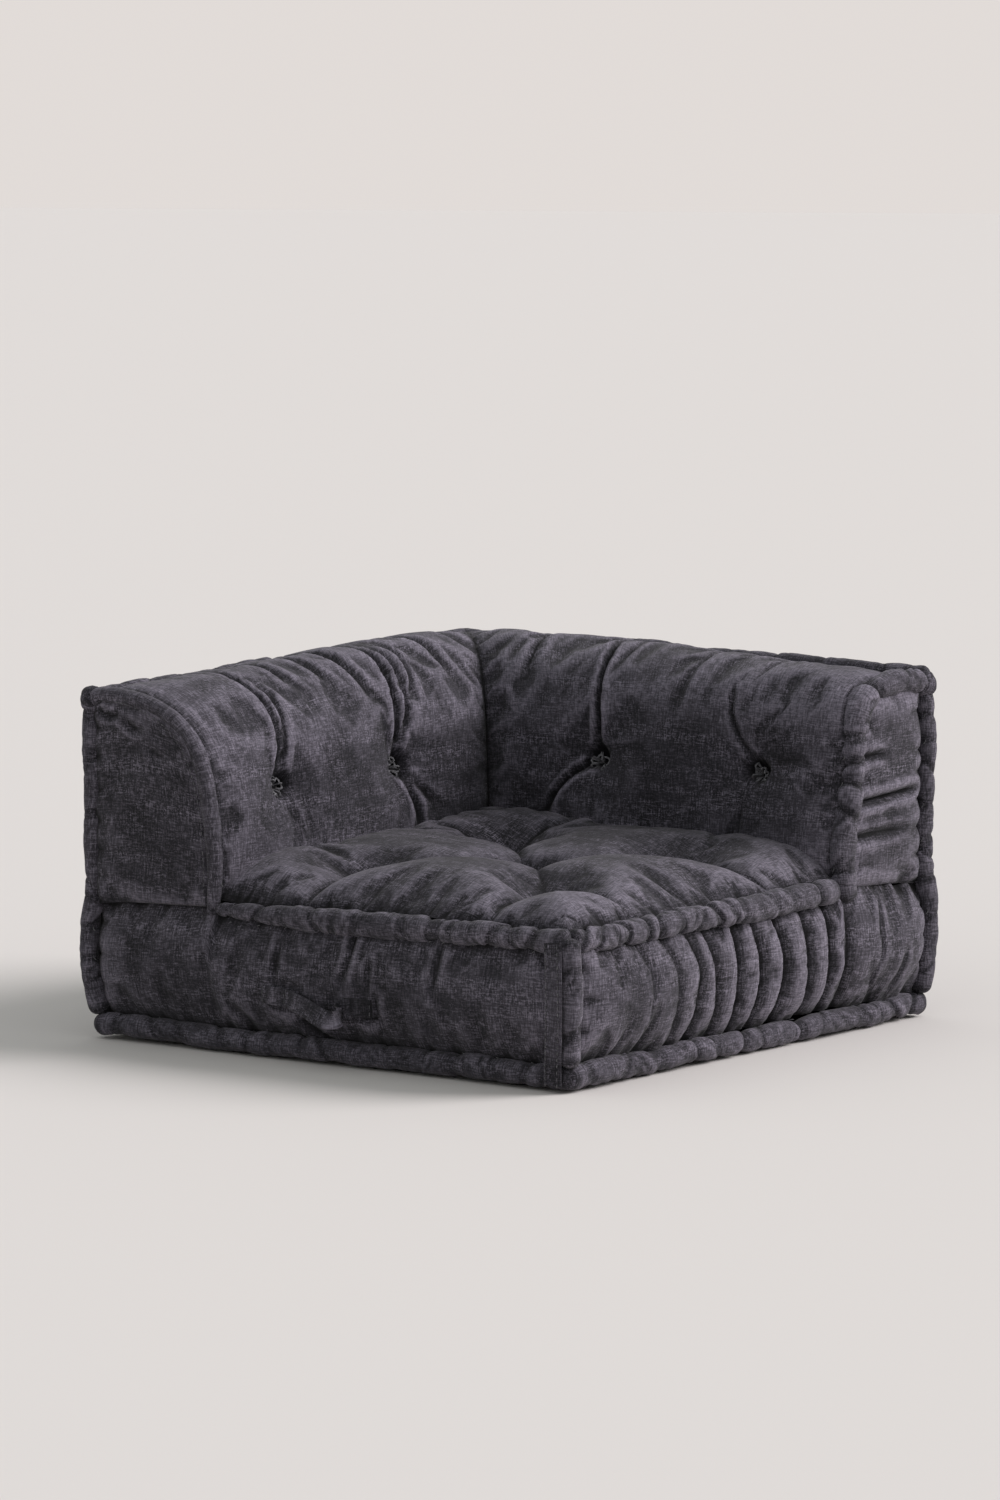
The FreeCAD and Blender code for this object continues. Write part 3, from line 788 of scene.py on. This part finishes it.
def rosette(centre, normal, lift_top, seed):
    """Thread loops and loose ends of one tuft, lying in its dimple"""
    rng = np.random.default_rng(seed)
    normal = np.array(normal, float)
    first = np.cross(normal, np.eye(3)[np.abs(normal).argmin()])
    second = np.cross(normal, first)

    def at(reach, turn, lift):
        return centre + reach * (math.cos(turn) * first + math.sin(turn) * second) + lift * normal

    strands = []
    loops, loose_ends = 9, 3
    root = 0.001
    for k in range(loops):
        turn = 2 * math.pi * (k + rng.uniform(-0.4, 0.4)) / loops
        reach = tuft_radius * rng.uniform(0.9, 1.3)
        lift = lift_top * rng.uniform(0.4, 1)
        spread = rng.uniform(0.25, 0.5)
        path = [
            at(0.15 * reach, turn - spread, root),
            at(0.75 * reach, turn - spread, lift),
            at(reach, turn, 0.7 * lift),
            at(0.75 * reach, turn + spread, lift),
            at(0.15 * reach, turn + spread, root),
        ]
        strands.append(strand(path, thread_radius))
    for turn in rng.uniform(0, 2 * math.pi, loose_ends):
        path = [
            at(0, turn, root),
            at(0.5 * tuft_radius, turn, 0.3 * lift_top),
            at(1.3 * tuft_radius, turn + 0.3, 0.2 * lift_top),
        ]
        strands.append(strand(path, loose_end_radius))
    return strands


def tufts(place_name, sheet, places, normal, lift_top, seed):
    """The tufts of one cover, each at the bottom of its dimple"""
    normal = np.array(normal)
    flat = sheet[..., normal == 0].reshape(-1, 2)
    strands = []
    for k, place in enumerate(places):
        low = sheet.reshape(-1, 3)[np.argmin(((flat - place) ** 2).sum(axis=1))]
        strands += rosette(low + 0.003 * normal, normal, lift_top, seed + k)
    threads = sheet_object(place_name + "_tuft_threads", strands, around=True)
    finished(threads, tuft_black, place_name + "_tufts", slot="tuft_cotton")


def ribbon(path, across, width, thickness, count):
    """Grid of points round a flat strap: across is the way its width lies at each point"""
    both = spline(np.hstack([np.array(path, float), 0.05 * np.array(across, float)]), count)
    line, wide = both[:, :3], both[:, 3:]
    ahead = unit(np.gradient(line, axis=0))
    wide = unit(wide - (wide * ahead).sum(axis=1, keepdims=True) * ahead)
    up = np.cross(wide, ahead)
    turn = np.linspace(0, 2 * np.pi, 20, endpoint=False)
    w = np.sign(np.cos(turn)) * np.abs(np.cos(turn)) ** 0.4 * width / 2
    h = np.sign(np.sin(turn)) * np.abs(np.sin(turn)) ** 0.7 * thickness / 2
    size = np.ones(count)[:, None, None]
    size[0] = size[-1] = 0.02
    line[0], line[-1] = line[1], line[-2]
    return line[:, None] + size * (w[None, :, None] * wide[:, None] + h[None, :, None] * up[:, None])


def stitch_row(line):
    """Short threads lying along a line on the front"""
    s = lengths(np.array(line, float))
    row = spline(line, max(2, int(s[-1] / stitch_spacing)))
    step = int((stitch_length + stitch_gap) / stitch_spacing)
    reach = int(stitch_length / stitch_spacing)
    half = int(stitch_length / (2 * stitch_spacing))
    lift = np.array([0, -stitch_lift, 0])
    return [[row[k], row[k + half] + lift, row[k + reach]] for k in range(0, len(row) - step, step)]


def on_front(x, z, lift):
    """The point that lies a little in front of the front border there"""
    place = ((front_sheet[..., 0] - x) ** 2 + (front_sheet[..., 2] - z) ** 2).argmin()
    return x, front_sheet[..., 1].flat[place] - lift, z


# Tones of each cloth: in its hollows (painted shade, with the less faded dye of the folds), deep, middle
# and pale
charcoal = cotton("charcoal_cotton", (0.0040, 0.0039, 0.0045, 1), (0.0108, 0.0104, 0.0124, 1),
                  (0.0246, 0.0231, 0.0282, 1), (0.300, 0.270, 0.333, 1))
tuft_black = cotton("tuft_cotton", (0.010, 0.010, 0.011, 1), (0.050, 0.048, 0.054, 1),
                    (0.180, 0.175, 0.188, 1), (0.50, 0.49, 0.51, 1))
thread = cotton("thread_cotton", (0.03, 0.03, 0.03, 1), (0.06, 0.058, 0.064, 1),
                (0.12, 0.117, 0.125, 1), (0.34, 0.335, 0.345, 1))
# A darker copy of the charcoal cloth, used on the right sewn end of the strap only
strap_cotton = cotton("strap_cotton", (0.0040, 0.0038, 0.0046, 1), (0.0068, 0.0065, 0.0078, 1),
                      (0.0135, 0.0127, 0.0154, 1), (0.110, 0.100, 0.121, 1))

# Pulled folds of the backs: along, and up from the seat; depth and width
left_folds = [
    ([(-0.312, 0.200), (-0.300, 0.245), (-0.292, 0.300), (-0.290, 0.360), (-0.286, 0.430), (-0.288, 0.470)],
     0.010, 0.0075),
    ([(-0.296, 0.215), (-0.280, 0.262), (-0.266, 0.320), (-0.258, 0.390)], 0.007, 0.007),
    ([(-0.185, 0.460), (-0.189, 0.420), (-0.192, 0.370), (-0.194, 0.318)], 0.006, 0.008),
    ([(-0.110, 0.460), (-0.110, 0.410), (-0.112, 0.360), (-0.108, 0.310)], 0.006, 0.008),
    ([(-0.044, 0.455), (-0.044, 0.390), (-0.043, 0.330), (-0.036, 0.280)], 0.007, 0.008),
    ([(0.008, 0.210), (0.014, 0.260), (0.026, 0.310), (0.036, 0.360), (0.046, 0.440)], 0.012, 0.0075),
    ([(0.022, 0.226), (0.042, 0.275), (0.054, 0.320), (0.066, 0.370), (0.078, 0.440)], 0.009, 0.007),
    ([(0.060, 0.285), (0.084, 0.325), (0.103, 0.375), (0.114, 0.440)], 0.007, 0.007),
    ([(0.192, 0.440), (0.196, 0.396), (0.189, 0.345), (0.182, 0.300)], 0.007, 0.009),
    ([(0.014, 0.172), (0.026, 0.140), (0.034, 0.110), (0.036, 0.060)], 0.008, 0.007),
    ([(0.018, 0.172), (0.050, 0.140), (0.085, 0.100)], 0.005, 0.007),
    ([(-0.304, 0.170), (-0.292, 0.140), (-0.280, 0.110)], 0.004, 0.008),
]
rear_folds = [
    ([(0.014, 0.205), (0.012, 0.250), (0.022, 0.300), (0.038, 0.360), (0.060, 0.425), (0.072, 0.490)],
     0.011, 0.0055),
    ([(0.008, 0.190), (0.034, 0.172), (0.060, 0.152), (0.086, 0.120), (0.106, 0.070)], 0.009, 0.0055),
    ([(0.235, 0.470), (0.205, 0.390), (0.190, 0.345), (0.176, 0.290)], 0.006, 0.009),
    ([(-0.292, 0.205), (-0.265, 0.245), (-0.247, 0.285), (-0.240, 0.330)], 0.0035, 0.005),
    ([(-0.118, 0.488), (-0.136, 0.420), (-0.143, 0.350), (-0.142, 0.280)], 0.003, 0.007),
    ([(0.026, 0.480), (0.010, 0.400), (-0.002, 0.320)], 0.003, 0.007),
    ([(-0.249, 0.500), (-0.270, 0.420), (-0.280, 0.330)], 0.003, 0.007),
]

# Folds of the two ends, of the front and of the right side: along, and height; depth and width
rear_end_folds = [
    ([(-0.245, 0.487), (-0.270, 0.489), (-0.310, 0.490)], 0.008, 0.006),
    ([(-0.245, 0.434), (-0.290, 0.440), (-0.350, 0.442)], 0.009, 0.006),
    ([(-0.240, 0.364), (-0.350, 0.372), (-0.462, 0.381)], 0.015, 0.007),
    ([(-0.245, 0.310), (-0.320, 0.316), (-0.420, 0.318)], 0.007, 0.007),
]
left_end_folds = [
    ([(-0.452, 0.527), (-0.425, 0.519), (-0.400, 0.524)], 0.006, 0.006),
    ([(-0.392, 0.512), (-0.368, 0.500), (-0.350, 0.502)], 0.005, 0.006),
    ([(-0.340, 0.470), (-0.318, 0.460), (-0.300, 0.464)], 0.003, 0.007),
]
front_folds = [
    ([(0.066, 0.212), (0.062, 0.168), (0.045, 0.125)], 0.005, 0.006),
    ([(-0.079, 0.185), (-0.080, 0.160), (-0.083, 0.125)], 0.004, 0.006),
    ([(-0.045, 0.068), (-0.005, 0.045), (0.025, 0.036)], 0.006, 0.009),
    ([(0.236, 0.205), (0.233, 0.165), (0.227, 0.125)], 0.004, 0.007),
    ([(-0.190, 0.088), (-0.165, 0.066), (-0.140, 0.044)], 0.004, 0.010),
    ([(0.106, 0.170), (0.104, 0.145), (0.103, 0.118)], 0.003, 0.005),
    ([(0.118, 0.118), (0.118, 0.100), (0.117, 0.080)], 0.004, 0.006),
    ([(0.116, 0.083), (0.090, 0.082), (0.062, 0.082)], 0.005, 0.006),
    ([(-0.046, 0.085), (-0.080, 0.088), (-0.112, 0.090)], 0.005, 0.006),
    ([(-0.030, 0.122), (-0.070, 0.124), (-0.112, 0.125)], 0.003, 0.006),
]
right_folds = [
    ([(0.318, 0.205), (0.312, 0.165), (0.316, 0.120), (0.300, 0.075)], 0.004, 0.006),
    ([(0.385, 0.120), (0.375, 0.080), (0.360, 0.050)], 0.004, 0.007),
]

# Pleats of the sides: along, and height; depth
right_pleats = [
    ([(-0.258, 0.222), (-0.233, 0.150), (-0.222, 0.042)], 0.005),
    ([(-0.191, 0.222), (-0.169, 0.150), (-0.174, 0.042)], 0.012),
    ([(-0.140, 0.222), (-0.125, 0.145), (-0.112, 0.042)], 0.011),
    ([(-0.066, 0.222), (-0.064, 0.140), (-0.060, 0.042)], 0.0175),
    ([(-0.019, 0.222), (-0.007, 0.140), (-0.008, 0.042)], 0.0165),
    ([(0.044, 0.222), (0.054, 0.140), (0.050, 0.042)], 0.0185),
    ([(0.119, 0.222), (0.121, 0.140), (0.127, 0.042)], 0.0175),
    ([(0.183, 0.222), (0.182, 0.140), (0.185, 0.042)], 0.0165),
    ([(0.232, 0.222), (0.229, 0.140), (0.230, 0.042)], 0.011),
    ([(-0.384, 0.224), (-0.376, 0.205), (-0.370, 0.180)], 0.004),
    ([(-0.318, 0.224), (-0.310, 0.195), (-0.300, 0.165)], 0.004),
    ([(-0.367, 0.038), (-0.364, 0.055), (-0.360, 0.075)], 0.004),
    ([(-0.307, 0.038), (-0.300, 0.060), (-0.290, 0.090)], 0.004),
    ([(0.317, 0.038), (0.312, 0.060), (0.300, 0.090)], 0.007),
]
hidden_places = (-0.33, -0.21, -0.12, 0.02, 0.13, 0.26, 0.35)
hidden_pleats = [([(a, 0.222), (a + 0.012, 0.140), (a, 0.042)], 0.007) for a in hidden_places]

# Covers
seat_sheet = seat()
front_sheet = border("front_border", 0, seed=40, folds=front_folds, back_end=-1, loose=0.008)
border("right_border", 1, seed=60, pleats=right_pleats, folds=right_folds, back_end=1, step=fine_cell)
border("rear_border", 2, seed=80, pleats=hidden_pleats, step=hidden_cell)
border("left_border", 3, seed=100, pleats=hidden_pleats[::-1], step=hidden_cell)
left_sheet = inner_back("left_back", left_end_profile, flange=0.476, tuft_rise=0.184, folds=left_folds,
                        seed=120, flip=False)
rear_sheet = inner_back("rear_back", rear_end_profile, flange=0.470, tuft_rise=0.190, folds=rear_folds,
                        seed=140, flip=True)
end_face("left_back_end_panel", left_end_profile, flange=0.480, fullness=0.007, loose=0.005,
         folds=left_end_folds, seed=160, flip=False)
end_face("rear_back_end_panel", rear_end_profile, flange=0.467, fullness=0.019, loose=0.020,
         folds=rear_end_folds, seed=170, flip=True)
left_outer = outer_face("left_back_outer_panel", seed=180, flip=False)
rear_outer = outer_face("rear_back_outer_panel", seed=190, flip=True)
base_sheet = base()

# Rolled edges, which also leave their hand stitches
edge_stitches = []
for quarter, side in enumerate(("front", "right", "rear", "left")):
    run = np.linspace(-base_axis, base_axis, 9)
    path = upright(run, np.full(9, base_axis), np.full(9, base_z), quarter)
    outward = upright(0.0, 1.0, -0.2, quarter)
    pitch, pinch, across = (0.075, 0.34, 0.1) if side == "front" else (0.058, 0.50, 0.5)
    roll("base_roll_" + side, path, outward, seed=200 + quarter, pitch=pitch, radius=base_roll_radius,
         pinch=pinch, across=across, lap=0.014, knob=base_knob)
front_seat_line = [(-seat_edge, -0.474, 0.226), (0.1, -0.475, 0.226), (0.476, -0.474, seam_z)]
roll("seat_roll_front", front_seat_line, (0, -0.8, 0.6), seed=210, pitch=0.048, radius=full_roll_radius,
     start_radius=tapered_radius, pinch=0.40, across=0.45)
right_seat_line = [(0.474, -0.470, seam_z), (0.475, -0.1, 0.229), (0.474, seat_edge, 0.232)]
roll("seat_roll_right", right_seat_line, (0.8, 0, 0.6), seed=211, pitch=0.045, radius=full_roll_radius,
     pinch=0.52, across=0.55)
roll("corner_roll_front_right", corner_path(0, knob_top, seam_z), (1, -1, 0), seed=220, pitch=0.05,
     pinch=0.34, lap=0.008)
upper_corners = ((1, "rear_right", end_z + ear), (2, "rear_left", corner_z), (3, "front_left", end_z + ear))
for quarter, corner, top in upper_corners:
    outward = (*corner_signs[quarter], 0)
    node = "corner_roll_" + corner
    roll(node + "_lower", corner_path(quarter, knob_top, seam_z), outward, seed=230 + quarter, pitch=0.085,
         lap=0.009, pinch=0.26)
    roll(node + "_upper", corner_path(quarter, seam_z, top), outward, seed=240 + quarter, pitch=0.080,
         lap=0.009, pinch=0.34, knob=ear_knob)
left_top = np.array([(-seam_axis, -seam_axis, end_z), (-seam_axis, 0, (end_z + corner_z) / 2),
                     (-seam_axis, seam_axis, corner_z)])
roll("back_roll_left", left_top, (-0.7, 0, 0.7), seed=250, lap=0.020)
rear_top = mirrored(left_top)
rear_top[:, 2] += rear_roll_lift * smooth(-0.30, 0.05, rear_top[:, 0])
roll("back_roll_rear", rear_top, (0, 0.7, 0.7), seed=251, lap=0.010)
end_rolls = (
    ("end_roll_left_back", left_end_profile, 0.476, flat_roll_radius, tapered_radius, 0.05, False),
    ("end_roll_rear_back", rear_end_profile, 0.474, full_roll_radius, full_roll_radius, 0.58, True),
)
for node, profile, level, radius, start_radius, pinch, flip in end_rolls:
    curve = spline(profile, 14)
    path = np.c_[curve[:, 0] - half_side - 0.6 * radius, np.full(14, -level), curve[:, 1] - 0.4 * radius]
    outward = (1, 0, 0) if flip else (0, -1, 0)
    roll(node, mirrored(path) if flip else path, outward, seed=262, pitch=0.046, across=0.8, radius=radius,
         start_radius=start_radius, pinch=pinch, lap=0.008)

# Tufts
tufts("seat", seat_sheet, seat_tufts, (0, 0, 1), lift_top=0.014, seed=300)
tufts("base", base_sheet, seat_tufts, (0, 0, -1), lift_top=0.004, seed=310)
left_places = [(p, back_tuft_z) for p in back_tufts]
rear_places = [(-p, back_tuft_z) for p in back_tufts]
face_rows = 66
tufts("left_back_inner", left_sheet[:, :face_rows], left_places, (1, 0, 0), lift_top=0.020, seed=320)
tufts("rear_back_inner", rear_sheet[:, :face_rows], rear_places, (0, -1, 0), lift_top=0.020, seed=330)
tufts("left_back_outer", left_outer, left_places, (-1, 0, 0), lift_top=0.006, seed=340)
tufts("rear_back_outer", rear_outer, rear_places, (0, 1, 0), lift_top=0.006, seed=350)

# Strap handle: two sewn ends, and the free part in two halves
left_tab = [on_front(-0.106, 0.106, 0.003), on_front(-0.080, 0.105, 0.004), on_front(-0.050, 0.103, 0.005)]
right_tab = [on_front(0.058, 0.099, 0.005), on_front(0.085, 0.100, 0.004), on_front(0.113, 0.100, 0.003)]
tab_width = [(0, 0, 1)] * 3
tabs = (("handle_tab_left", left_tab, charcoal), ("handle_tab_right", right_tab, strap_cotton))
for name, path, material in tabs:
    tab = ribbon(path, tab_width, strap_width, strap_thickness, 40)
    finished(sheet_object(name + "_piece", tab, around=True), material, name)
loop_path = [on_front(-0.056, 0.103, 0.005), (-0.034, -0.510, 0.100), (-0.006, -0.516, 0.094),
             (0.022, -0.524, 0.086), (0.046, -0.527, 0.081), (0.060, -0.521, 0.083),
             (0.060, -0.512, 0.091), (0.060, -0.508, 0.097), on_front(0.074, 0.099, 0.005)]
loop_lean = (0, 0.1, 0.25, 0.4, 0.5, 0.4, 0.2, 0.05, 0)
loop = ribbon(loop_path, [(0, lean, 1) for lean in loop_lean], strap_width, strap_thickness, 90)
split = 45
for name, part, sewn_x, free_x in (("handle_loop_left_half", loop[:split + 1], -0.056, -0.030),
                                   ("handle_loop_right_half", loop[split:], 0.066, 0.040)):
    obj = sheet_object(name, part, around=True)
    obj.data.materials.append(charcoal)
    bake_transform(obj)
    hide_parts("handle_loop")

# Flat tape beside the front right corner, and the rows of stitches
tape_line = corner_path(0, 0.010, seam_z + 0.004) + np.array([-0.0165, -0.0200, 0])
tape = ribbon(tape_line, [(1, 0, 0)] * len(tape_line), tape_width, tape_thickness, 90)
finished(sheet_object("front_corner_tape_piece", tape, around=True), charcoal, "front_corner_tape")
stitches = []
for side in (-0.012, 0.010):
    stitches += stitch_row(tape_line + np.array([side, -0.0024, 0]))
for path, ends in ((left_tab, (-0.103, -0.056)), (right_tab, (0.064, 0.110))):
    for x in ends:
        y = np.interp(x, [p[0] for p in path], [p[1] for p in path]) - 0.5 * strap_thickness
        stitches += stitch_row([(x, y, path[1][2] - 0.011), (x, y, path[1][2] + 0.011)])
flange = spline(left_end_profile, 40)[:34]
stitches += stitch_row(np.c_[flange[:, 0] - half_side - 0.020, np.full(34, -0.4885), flange[:, 1] - 0.014])
strands = [strand(path, stitch_radius, 6, 5) for path in edge_stitches + stitches]
finished(sheet_object("sewing_threads", strands, around=True), thread, slot="twine")

# Twine inside
twine = bpy.data.materials.new("twine")
twine.use_nodes = True
tree = twine.node_tree
fibre = tree.nodes.new("ShaderNodeTexNoise")
give(fibre, {"Scale": 900})
tone = mixed(tree, fibre.outputs["Fac"], (0.020, 0.019, 0.021, 1), (0.050, 0.048, 0.052, 1))
tree.links.new(tone, tree.nodes["Principled BSDF"].inputs["Base Color"])
for name in ("seat_tuft_ties", "left_back_tuft_ties", "rear_back_tuft_ties"):
    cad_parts[name].data.materials.clear()
    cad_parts[name].data.materials.append(twine)

# Camera, floor and light
camera_place = (5.85, -7.53, 1.47)
yaw, pitch, tilt = (math.radians(a) for a in (37.96, 6.12, -0.42))
ahead = np.array([-math.sin(yaw) * math.cos(pitch), math.cos(yaw) * math.cos(pitch), -math.sin(pitch)])
level = np.array([math.cos(yaw), math.sin(yaw), 0])
above = np.cross(level, ahead)
right = math.cos(tilt) * level + math.sin(tilt) * above
upward = math.cos(tilt) * above - math.sin(tilt) * level
camera = bpy.data.objects.new("camera", bpy.data.cameras.new("camera"))
camera.data.lens = 144
camera.data.sensor_width = 36
camera.data.clip_end = 200
turned = [[right[k], upward[k], -ahead[k], camera_place[k]] for k in range(3)]
camera.matrix_world = Matrix(turned + [[0, 0, 0, 1]])
scene.collection.objects.link(camera)
scene.camera = camera
scene.view_settings.view_transform = "Standard"

floor_mesh = bpy.data.meshes.new("floor")
floor_reach = 60
floor_corners = [(floor_reach * x, floor_reach * y, 0) for x, y in square_corners]
floor_mesh.from_pydata(floor_corners, [], [(0, 1, 2, 3)])
floor = bpy.data.objects.new("floor", floor_mesh)
scene.collection.objects.link(floor)
pale = bpy.data.materials.new("pale_floor")
pale.use_nodes = True
shader = pale.node_tree.nodes["Principled BSDF"]
give(shader, {"Base Color": (0.735, 0.698, 0.672, 1), "Roughness": 0.9})
floor_mesh.materials.append(pale)

world = scene.world or bpy.data.worlds.new("world")
scene.world = world
world.use_nodes = True
tree = world.node_tree
light = tree.nodes["Background"]
give(light, {"Color": (0.89, 0.93, 0.93, 1), "Strength": 0.55})
shown = tree.nodes.new("ShaderNodeBackground")
give(shown, {"Color": (0.757, 0.712, 0.687, 1)})
rays = tree.nodes.new("ShaderNodeLightPath")
seen = maths(tree, "MAXIMUM", rays.outputs["Is Camera Ray"], rays.outputs["Is Glossy Ray"])
seen = maths(tree, "MAXIMUM", seen, rays.outputs["Is Transmission Ray"])
either = tree.nodes.new("ShaderNodeMixShader")
tree.links.new(seen, either.inputs["Fac"])
tree.links.new(light.outputs["Background"], either.inputs[1])
tree.links.new(shown.outputs["Background"], either.inputs[2])
tree.links.new(either.outputs["Shader"], tree.nodes["World Output"].inputs["Surface"])
sun = bpy.data.objects.new("sun", bpy.data.lights.new("sun", "SUN"))
sun.data.energy = 2.85
sun.data.color = (1.0, 0.965, 0.985)
sun.data.angle = math.radians(34)
sun.rotation_euler = (-Vector((0.70, 0.62, 0.62))).to_track_quat("-Z", "Y").to_euler()
scene.collection.objects.link(sun)
